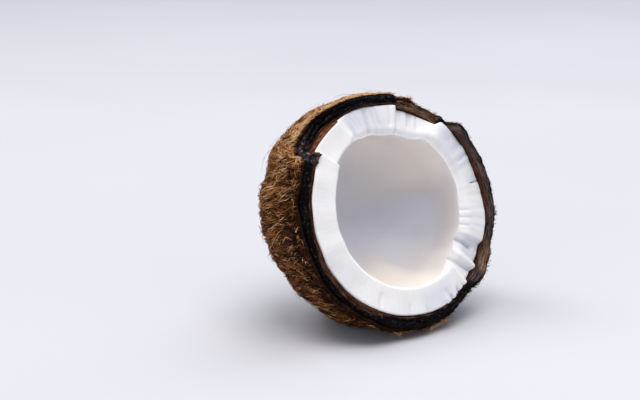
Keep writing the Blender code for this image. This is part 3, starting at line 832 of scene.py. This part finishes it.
def make_mat(draw, material):
    """The short mat, in several pieces, darker than the top fibres as painted shade under them. Its fibres
    lie flatter between the tufts.
    """
    for number in range(MAT_PIECES):
        angle, share = spread_over_coat(draw, MAT_FIBRES)
        share = share * MAT_REACH
        heading = both_ways(draw, flow(angle, share) + draw.normal(0, MAT_TURN, MAT_FIBRES))
        length = draw.uniform(*MAT_LENGTH, MAT_FIBRES)
        curl = length * draw.uniform(*MAT_CURL_SHARE, MAT_FIBRES)
        lift = draw.uniform(*MAT_LIFT, MAT_FIBRES) * (0.25 + 0.75 * smooth(0.5 + tufts(angle, share)))
        lift = lift * lying(angle, share)
        points = fibre_paths(draw, angle, share, heading, length, curl, lift, MAT_POINTS)
        radius = draw.uniform(*MAT_RADIUS, MAT_FIBRES)
        tone = np.clip(fibre_tone(draw, angle, share) - MAT_PAINTED_SHADE, 0, 1)
        piece(fibre_mesh(f"husk_mat_{number + 1}", points, radius, tone), material)


def make_top(draw, material):
    """Longer and thicker fibres on the mat, with a wider range from dark to pale."""
    angle, share = spread_over_coat(draw, TOP_FIBRES)
    share = share * TOP_REACH
    heading = both_ways(draw, flow(angle, share) + draw.normal(0, MAT_TURN, TOP_FIBRES))
    length = draw.uniform(*TOP_LENGTH, TOP_FIBRES)
    curl = length * draw.uniform(*TOP_CURL_SHARE, TOP_FIBRES)
    lift = draw.uniform(*TOP_LIFT, TOP_FIBRES) * (0.45 + 0.55 * smooth(0.5 + tufts(angle, share)))
    lift = lift * lying(angle, share)
    points = fibre_paths(draw, angle, share, heading, length, curl, lift, TOP_POINTS)
    tone = np.clip(TOP_PALER + TOP_CONTRAST * fibre_tone(draw, angle, share), 0, 1)
    mesh = fibre_mesh("husk_top", points, draw.uniform(*TOP_RADIUS, TOP_FIBRES), tone)
    piece(mesh, material)


def make_coarse(draw, material):
    """A few coarse strands."""
    angle, share = spread_over_coat(draw, COARSE_FIBRES)
    heading = both_ways(draw, flow(angle, share) + draw.normal(0, COARSE_TURN, COARSE_FIBRES))
    length = draw.uniform(*COARSE_LENGTH, COARSE_FIBRES)
    curl = length * draw.uniform(*COARSE_CURL_SHARE, COARSE_FIBRES)
    lift = draw.uniform(*COARSE_LIFT, COARSE_FIBRES) * lying(angle, share)
    share_kept = share * COARSE_REACH
    points = fibre_paths(draw, angle, share_kept, heading, length, curl, lift, COARSE_POINTS)
    tone = fibre_tone(draw, angle, share)
    mesh = fibre_mesh("husk_coarse", points, draw.uniform(*COARSE_RADIUS, COARSE_FIBRES), tone)
    piece(mesh, material)


def make_strays(draw, material):
    """Long thin pale strays that stand off the coat."""
    angle, share = spread_over_coat(draw, STRAY_FIBRES)
    heading = both_ways(draw, draw.normal(0, STRAY_TURN, STRAY_FIBRES))
    length, curl = draw.uniform(*STRAY_LENGTH, STRAY_FIBRES), draw.uniform(*STRAY_CURL, STRAY_FIBRES)
    lift = draw.uniform(*STRAY_LIFT, STRAY_FIBRES)
    points = fibre_paths(draw, angle, share * STRAY_REACH, heading, length, curl, lift, STRAY_POINTS)
    tone = np.clip(draw.normal(*STRAY_TONE, STRAY_FIBRES), 0, 1)
    mesh = fibre_mesh("husk_strays", points, draw.uniform(*STRAY_RADIUS, STRAY_FIBRES), tone)
    piece(mesh, material)


def make_fringe(draw, material):
    """The fringe along the coat's ragged edge, towards the shell's edge."""
    angle = draw.uniform(0, 360, FRINGE_FIBRES)
    share = draw.uniform(*FRINGE_SHARE, FRINGE_FIBRES)
    heading = draw.normal(0, FRINGE_TURN, FRINGE_FIBRES)
    length, curl = draw.uniform(*FRINGE_LENGTH, FRINGE_FIBRES), draw.uniform(*FRINGE_CURL, FRINGE_FIBRES)
    lift = draw.uniform(*FRINGE_LIFT, FRINGE_FIBRES)
    points = fibre_paths(draw, angle, share, heading, length, curl, lift, FRINGE_POINTS)
    tone = np.clip(fibre_tone(draw, angle, share) + FRINGE_PALER, 0, 1)
    mesh = fibre_mesh("husk_fringe", points, draw.uniform(*MAT_RADIUS, FRINGE_FIBRES), tone)
    piece(mesh, material)


def make_fibres(material):
    """All the loose fibres, from one run of chance numbers."""
    draw = np.random.default_rng(FIBRE_SEED)
    for make in (make_mat, make_top, make_coarse, make_strays, make_fringe):
        make(draw, material)


def make_snags(material):
    """Small bunches of pale fibre, snagged on the coat near its edge and standing off it."""
    draw = np.random.default_rng(SNAG_SEED)
    counts = [count for _, _, count, _, _ in SNAGS]
    angle, share, _, spread, turned = (np.repeat(values, counts) for values in zip(*SNAGS))
    count = len(angle)
    angle = angle + spread * draw.normal(0, 1, count)
    share = share + SNAG_SPREAD * draw.normal(0, 1, count)
    heading = turned * draw.normal(0, 1, count)
    length, curl = draw.uniform(*SNAG_LENGTH, count), draw.uniform(*SNAG_CURL, count)
    lift = draw.uniform(*SNAG_LIFT, count)
    points = fibre_paths(draw, angle, share, heading, length, curl, lift, SNAG_POINTS)
    tone = np.clip(draw.normal(*SNAG_TONE, count), 0, 1)
    mesh = fibre_mesh("husk_snags", points, draw.uniform(*SNAG_RADIUS, count), tone)
    piece(mesh, material)


def add(tree, kind, inputs=None, **settings):
    """A shader node with its settings, and each input given a value or the socket that feeds it."""
    made = tree.nodes.new("ShaderNode" + kind)
    for name, value in settings.items():
        setattr(made, name, value)
    for name, value in (inputs or {}).items():
        if isinstance(value, bpy.types.NodeSocket):
            tree.links.new(value, made.inputs[name])
        else:
            made.inputs[name].default_value = value
    return made


def mixed(tree, factor, first, second, blend="MIX"):
    """The mix of two colours."""
    return add(tree, "Mix", {0: factor, 6: first, 7: second}, data_type="RGBA", blend_type=blend).outputs[2]


def plus(tree, first, second):
    """The sum of two numbers."""
    return add(tree, "Math", {0: first, 1: second}, operation="ADD").outputs[0]


def minus(tree, first, second):
    """The first number less the second."""
    return add(tree, "Math", {0: first, 1: second}, operation="SUBTRACT").outputs[0]


def times(tree, first, second):
    """The product of two numbers."""
    return add(tree, "Math", {0: first, 1: second}, operation="MULTIPLY").outputs[0]


def ramp(tree, factor, stops):
    """A colour from a number, by stops of (place, colour)."""
    made = add(tree, "ValToRGB", {"Fac": factor})
    line = made.color_ramp
    while len(line.elements) < len(stops):
        line.elements.new(0.5)
    for element, (place, colour) in zip(line.elements, stops):
        element.position = place
        element.color = (*colour, 1.0)
    return made.outputs["Color"]


def between_values(tree, value, low, high, to_low=0.0, to_high=1.0):
    """A number carried from one range to another, and held at its ends."""
    made = add(
        tree,
        "MapRange",
        {"Value": value, "From Min": low, "From Max": high, "To Min": to_low, "To Max": to_high},
    )
    return made.outputs["Result"]


def read(tree, name, socket="Fac"):
    """A vertex attribute's number, or its vector."""
    return add(tree, "Attribute", attribute_name=name).outputs[socket]


def grain(tree, place, stretch, detail=3.0, rough=0.55):
    """Noise on the nut's own place, stretched by a scale for each of its axes."""
    scaled = add(tree, "VectorMath", {0: place, 1: stretch}, operation="MULTIPLY").outputs[0]
    settings = {"Vector": scaled, "Scale": 1.0, "Detail": detail, "Roughness": rough}
    return add(tree, "TexNoise", settings).outputs["Fac"]


def speckle(tree, scale, detail=4.0, rough=0.6):
    """Noise on the object's own place."""
    place = add(tree, "TexCoord").outputs["Object"]
    settings = {"Vector": place, "Scale": scale, "Detail": detail, "Roughness": rough}
    return add(tree, "TexNoise", settings).outputs["Fac"]


def start_material(name, **values):
    """A new material, its tree and its shader, with the values that are the same all over it."""
    made = bpy.data.materials.new(name)
    made.use_nodes = True
    shader = made.node_tree.nodes["Principled BSDF"]
    for key, value in values.items():
        shader.inputs[key.replace("_", " ")].default_value = value
    return made, made.node_tree, shader


def bumped(tree, shader, height, distance, strength=1.0, under=None):
    """Gives the shader a bump of that height, over another bump where one is given."""
    inputs = {"Height": height, "Distance": distance, "Strength": strength}
    if under:
        inputs["Normal"] = under
    normal = add(tree, "Bump", inputs).outputs["Normal"]
    tree.links.new(normal, shader.inputs["Normal"])
    return normal


# Colours of the flesh: stops of (place on the noise, or on the hollow's painted light, and colour)
FACE_WHITE = (
    (0.25, (0.81, 0.81, 0.815)),
    (0.50, (0.85, 0.845, 0.83)),
    (0.75, (0.87, 0.86, 0.835)),
)
# Grey of the painted shade on the broken face
FACE_PAINTED_SHADE_GREY = (0.55, 0.575, 0.67, 1.0)
# The hollow's painted light and shade: bluish where shaded, cream where lit
HOLLOW_LIGHT_AND_SHADE_COLOURS = (
    (0.0, (0.65, 0.70, 0.83)),
    (0.40, (0.71, 0.685, 0.69)),
    (0.66, (0.84, 0.79, 0.755)),
    (1.0, (0.95, 0.885, 0.79)),
)
HOLLOW_CLOUDS = ((0.3, (0.95, 0.95, 0.95)), (0.7, (1.0, 1.0, 1.0)))
SKIN_BROWN = (
    (0.34, (0.025, 0.009, 0.005)),
    (0.50, (0.11, 0.040, 0.019)),
    (0.68, (0.25, 0.115, 0.062)),
)


def flesh_material():
    """Moist white flesh with fine fibre across the broken face and grey painted shade in its grooves,
    notches and shaded places; smoother in the hollow, which is coloured by painted light and shade, cream
    where lit and bluish where shaded; and the brown skin on its outer side, whose edge is ragged."""
    made, tree, shader = start_material("coconut_flesh", Roughness=0.42, IOR=1.42)
    shader.inputs["Subsurface Weight"].default_value = 0.35
    shader.inputs["Subsurface Radius"].default_value = (1.0, 0.85, 0.75)
    shader.inputs["Subsurface Scale"].default_value = 0.0025
    place = read(tree, "place", "Vector")
    hollow = read(tree, "hollow")
    skin = read(tree, "skin")
    streaks = grain(tree, place, (42.0, 42.0, 1.4), 3.0)
    fine = grain(tree, place, (120.0, 120.0, 3.0), 3.0)
    cloud = speckle(tree, 60.0, 3.0)
    # The broken face, greyed by painted shade in grooves, notches and shaded places
    painted_shade = read(tree, "painted_shade")
    face = mixed(tree, painted_shade, ramp(tree, streaks, FACE_WHITE), FACE_PAINTED_SHADE_GREY)
    # The hollow, coloured by painted light and shade
    hollow_lit_shaded = ramp(tree, read(tree, "painted_light"), HOLLOW_LIGHT_AND_SHADE_COLOURS)
    hollow_lit_shaded_clouded = mixed(tree, 1.0, hollow_lit_shaded, ramp(tree, cloud, HOLLOW_CLOUDS), "MULTIPLY")
    white = mixed(tree, hollow, face, hollow_lit_shaded_clouded)
    skin_grain = grain(tree, place, (34.0, 34.0, 5.0), 5.0, 0.7)
    brown = ramp(tree, skin_grain, SKIN_BROWN)
    ragged = between_values(tree, plus(tree, skin, times(tree, streaks, 0.35)), 0.45, 0.75)
    tree.links.new(mixed(tree, ragged, white, brown), shader.inputs["Base Color"])
    tree.links.new(between_values(tree, ragged, 0.0, 1.0, 0.4, 0.05), shader.inputs["Specular IOR Level"])
    rough = plus(tree, between_values(tree, hollow, 0.0, 1.0, 0.50, 0.38), times(tree, ragged, 0.25))
    tree.links.new(rough, shader.inputs["Roughness"])
    low = bumped(tree, shader, times(tree, fine, minus(tree, 1.0, hollow)), 0.00010, 0.5)
    bumped(tree, shader, plus(tree, cloud, skin_grain), 0.00010, 0.3, low)
    return made


# Colours of the shell: stops of (place on the noise, colour)
SHELL_BLACK = (
    (0.35, (0.0010, 0.0007, 0.0012)),
    (0.60, (0.0026, 0.0018, 0.0024)),
    (0.75, (0.022, 0.013, 0.011)),
)
SHELL_RED_BROWN = (
    (0.38, (0.006, 0.0025, 0.002)),
    (0.50, (0.048, 0.015, 0.009)),
    (0.64, (0.21, 0.10, 0.055)),
)
SHELL_BROWN = (
    (0.38, (0.018, 0.008, 0.005)),
    (0.50, (0.10, 0.050, 0.029)),
    (0.64, (0.30, 0.185, 0.115)),
)
SHELL_GREY_BROWN = (
    (0.36, (0.005, 0.004, 0.004)),
    (0.50, (0.045, 0.034, 0.034)),
    (0.64, (0.17, 0.13, 0.125)),
)
SHELL_GOLDEN = (
    (0.36, (0.022, 0.009, 0.005)),
    (0.50, (0.14, 0.080, 0.047)),
    (0.64, (0.31, 0.21, 0.14)),
)
# Crumbs of black, brown and pink, with grey-blue specks that are painted highlights
SHELL_CRUMBS_AND_HIGHLIGHTS = (
    (0.42, (0.003, 0.002, 0.003)),
    (0.54, (0.030, 0.028, 0.036)),
    (0.62, (0.13, 0.065, 0.045)),
    (0.70, (0.42, 0.27, 0.21)),
)
# Grey of the painted glints, specks that stand for highlights on the black
SHELL_PAINTED_GLINTS = (0.075, 0.066, 0.066, 1.0)


def shell_material():
    """Hard shell: black outside with small painted glints, red-brown layers towards the flesh, grey-brown
    where it is worn, crumbs of brown and pink with grey-blue painted highlights where it is crumbled, brown
    where it was torn, and golden on the flap."""
    made, tree, shader = start_material("coconut_shell", Roughness=0.55, IOR=1.45)
    shader.inputs["Specular IOR Level"].default_value = 0.05
    place = read(tree, "place", "Vector")
    across = read(tree, "across")
    torn = read(tree, "torn")
    flap = read(tree, "flap")
    worn = read(tree, "worn")
    layered = read(tree, "layered")
    layers = grain(tree, place, (7.0, 7.0, 15.0), 5.0, 0.65)
    fine = grain(tree, place, (9.0, 9.0, 26.0), 4.0, 0.6)
    chips = speckle(tree, 900.0, 3.0)
    wander = plus(tree, across, times(tree, minus(tree, layers, 0.5), 0.6))
    reach = between_values(tree, layered, 0.0, 1.0, 0.0, 0.50)
    inner = between_values(tree, minus(tree, wander, reach), 0.0, 0.14, 1.0, 0.0)
    worn_only = times(tree, worn, between_values(tree, wander, 0.55, 0.85, 1.0, 0.0))
    outside = mixed(tree, worn_only, ramp(tree, layers, SHELL_BLACK), ramp(tree, fine, SHELL_GREY_BROWN))
    # Painted glints: grey specks on the black, standing for highlights
    painted_glints = times(tree, between_values(tree, chips, 0.58, 0.70), 0.7)
    outside = mixed(tree, painted_glints, outside, SHELL_PAINTED_GLINTS)
    # Crumbs where the shell is crumbled, with grey-blue painted highlights among them
    crumbs_and_highlights = ramp(tree, speckle(tree, 620.0, 3.0, 0.7), SHELL_CRUMBS_AND_HIGHLIGHTS)
    outside = mixed(tree, times(tree, read(tree, "crumbled_with_highlights"), 0.9), outside, crumbs_and_highlights)
    colour = mixed(tree, inner, outside, ramp(tree, fine, SHELL_RED_BROWN))
    face_only = between_values(tree, wander, 0.76, 0.92, 1.0, 0.0)
    colour = mixed(tree, times(tree, torn, face_only), colour, ramp(tree, fine, SHELL_BROWN))
    flap_only = between_values(tree, wander, 0.62, 0.86, 0.95, 0.05)
    flap_only = times(tree, flap_only, between_values(tree, wander, 0.08, 0.28))
    colour = mixed(tree, times(tree, flap, flap_only), colour, ramp(tree, fine, SHELL_GOLDEN))
    tree.links.new(colour, shader.inputs["Base Color"])
    tree.links.new(between_values(tree, layers, 0.3, 0.7, 0.45, 0.75), shader.inputs["Roughness"])
    low = bumped(tree, shader, fine, 0.00035, 0.9)
    bumped(tree, shader, chips, 0.00012, 0.5, low)
    return made


# Colours of the husk: stops of (place on the noise, on the tone or along the fibre, and colour)
# The husk's own dark brown, darkened to near black as painted shade in the gaps between the fibres
COAT_BROWN_AND_GAP_SHADE = (
    (0.34, (0.004, 0.0015, 0.0008)),
    (0.54, (0.028, 0.010, 0.004)),
    (0.76, (0.14, 0.058, 0.020)),
)
COAT_SHADE = ((0.3, (0.45, 0.42, 0.40)), (0.7, (1.0, 1.0, 1.0)))
FIBRE_COLOURS = (
    (0.10, (0.008, 0.0025, 0.0008)),
    (0.36, (0.075, 0.021, 0.005)),
    (0.56, (0.27, 0.090, 0.022)),
    (0.78, (0.60, 0.270, 0.085)),
    (1.0, (0.90, 0.64, 0.38)),
)
FIBRE_ROOT = ((0.0, (0.45, 0.42, 0.40)), (0.35, (1.0, 1.0, 1.0)))


def coat_material():
    """Matted husk under the loose fibres: dark brown, made near black as painted shade in the gaps between
    the fibres, with bundles of fibre from pole to rim.
    """
    made, tree, shader = start_material("husk_mat", Roughness=0.85, IOR=1.4)
    shader.inputs["Specular IOR Level"].default_value = 0.15
    place = read(tree, "place", "Vector")
    bundles = grain(tree, place, (55.0, 55.0, 14.0), 6.0, 0.7)
    patches = grain(tree, place, (9.0, 9.0, 8.0), 4.0, 0.6)
    shade = ramp(tree, patches, COAT_SHADE)
    colour = mixed(tree, 1.0, ramp(tree, bundles, COAT_BROWN_AND_GAP_SHADE), shade, "MULTIPLY")
    tree.links.new(colour, shader.inputs["Base Color"])
    bumped(tree, shader, bundles, 0.0006, 0.9)
    return made


def fibre_material():
    """Husk fibre: each one its own tone from dark brown to straw, darker at its root."""
    made, tree, shader = start_material("husk_fibre", Roughness=0.60, IOR=1.45)
    shader.inputs["Specular IOR Level"].default_value = 0.08
    wander = plus(tree, read(tree, "tone"), times(tree, minus(tree, speckle(tree, 500.0), 0.5), 0.25))
    root = ramp(tree, read(tree, "along"), FIBRE_ROOT)
    colour = mixed(tree, 1.0, ramp(tree, wander, FIBRE_COLOURS), root, "MULTIPLY")
    tree.links.new(colour, shader.inputs["Base Color"])
    return made


FLOOR_CLOUDS = ((0.3, (0.54, 0.545, 0.585)), (0.7, (0.57, 0.575, 0.615)))


def floor_material():
    """Plain pale floor with a faint unevenness."""
    made, tree, shader = start_material("pale_floor", Roughness=0.75)
    tree.links.new(ramp(tree, speckle(tree, 2.2, 2.0), FLOOR_CLOUDS), shader.inputs["Base Color"])
    return made


def make_floor():
    """A wide pale floor, level with the surface that the nut lies on."""
    corners = FLOOR_HALF * np.array([(-1.0, -1.0, 0.0), (1.0, -1.0, 0.0), (1.0, 1.0, 0.0), (-1.0, 1.0, 0.0)])
    mesh = mesh_of("floor", corners, np.array([[0, 1, 2, 3]]), np.zeros((0, 3), int))
    mesh.materials.append(floor_material())
    floor = bpy.data.objects.new("floor", mesh)
    bpy.context.scene.collection.objects.link(floor)


def soft_light(name, azimuth, elevation, distance, size, power, colour):
    """A square studio light that looks at the nut from that side."""
    lamp = bpy.data.lights.new(name, "AREA")
    lamp.shape, lamp.size, lamp.energy, lamp.color = "SQUARE", size, power, colour
    turn, rise = math.radians(azimuth), math.radians(elevation)
    way = Vector((math.sin(turn) * math.cos(rise), -math.cos(turn) * math.cos(rise), math.sin(rise)))
    obj = bpy.data.objects.new(name, lamp)
    obj.location = Vector((0, 0, RIM_CENTRE_HEIGHT)) + way * distance
    obj.rotation_euler = way.to_track_quat("Z", "Y").to_euler()
    bpy.context.scene.collection.objects.link(obj)


def make_light():
    """Pale surroundings, and the large soft lights above, behind, at the right and low in front at the
    left."""
    world = bpy.data.worlds.new("studio")
    world.use_nodes = True
    sky = world.node_tree.nodes["Background"]
    sky.inputs["Color"].default_value = SKY_COLOUR
    sky.inputs["Strength"].default_value = SKY_STRENGTH
    bpy.context.scene.world = world
    for light in LIGHTS:
        soft_light(*light)
    bpy.context.scene.view_settings.view_transform = "Standard"


def make_camera():
    """A level camera on the photograph's side of the rim, turned so that the rim's centre stands at its
    place in the picture: the pitch from the way's own rise and its place below the middle, and the turn
    from its place beside the middle."""
    way = Vector(
        (
            math.sin(VIEW_AZIMUTH) * math.cos(VIEW_ELEVATION),
            -math.cos(VIEW_AZIMUTH) * math.cos(VIEW_ELEVATION),
            math.sin(VIEW_ELEVATION),
        )
    )
    right, up = RIM_CENTRE_RIGHT / FOCAL_PIXELS, -RIM_CENTRE_DOWN / FOCAL_PIXELS
    length = math.sqrt(right ** 2 + up ** 2 + 1)
    right, up, ahead = right / length, up / length, 1 / length
    pitch = math.asin(-way.z / math.hypot(up, ahead)) - math.atan2(up, ahead)
    level_ahead = ahead * math.cos(pitch) - up * math.sin(pitch)
    heading = math.atan2(way.x, -way.y) + math.atan2(right, level_ahead)
    camera = bpy.data.cameras.new("camera")
    camera.sensor_width = SENSOR_WIDTH
    camera.lens = FOCAL_PIXELS / PICTURE_WIDTH * camera.sensor_width
    camera.clip_start = 0.01
    obj = bpy.data.objects.new("camera", camera)
    obj.location = Vector((0, RIM_CENTRE_Y, RIM_CENTRE_HEIGHT)) + way * VIEW_DISTANCE
    obj.rotation_euler = (math.pi / 2 + pitch, 0.0, heading)
    bpy.context.scene.collection.objects.link(obj)
    bpy.context.scene.camera = obj


make_flesh(flesh_material())
make_shell(shell_material())
make_coat(coat_material())
husk = fibre_material()
make_fibres(husk)
make_snags(husk)
make_floor()
make_light()
make_camera()
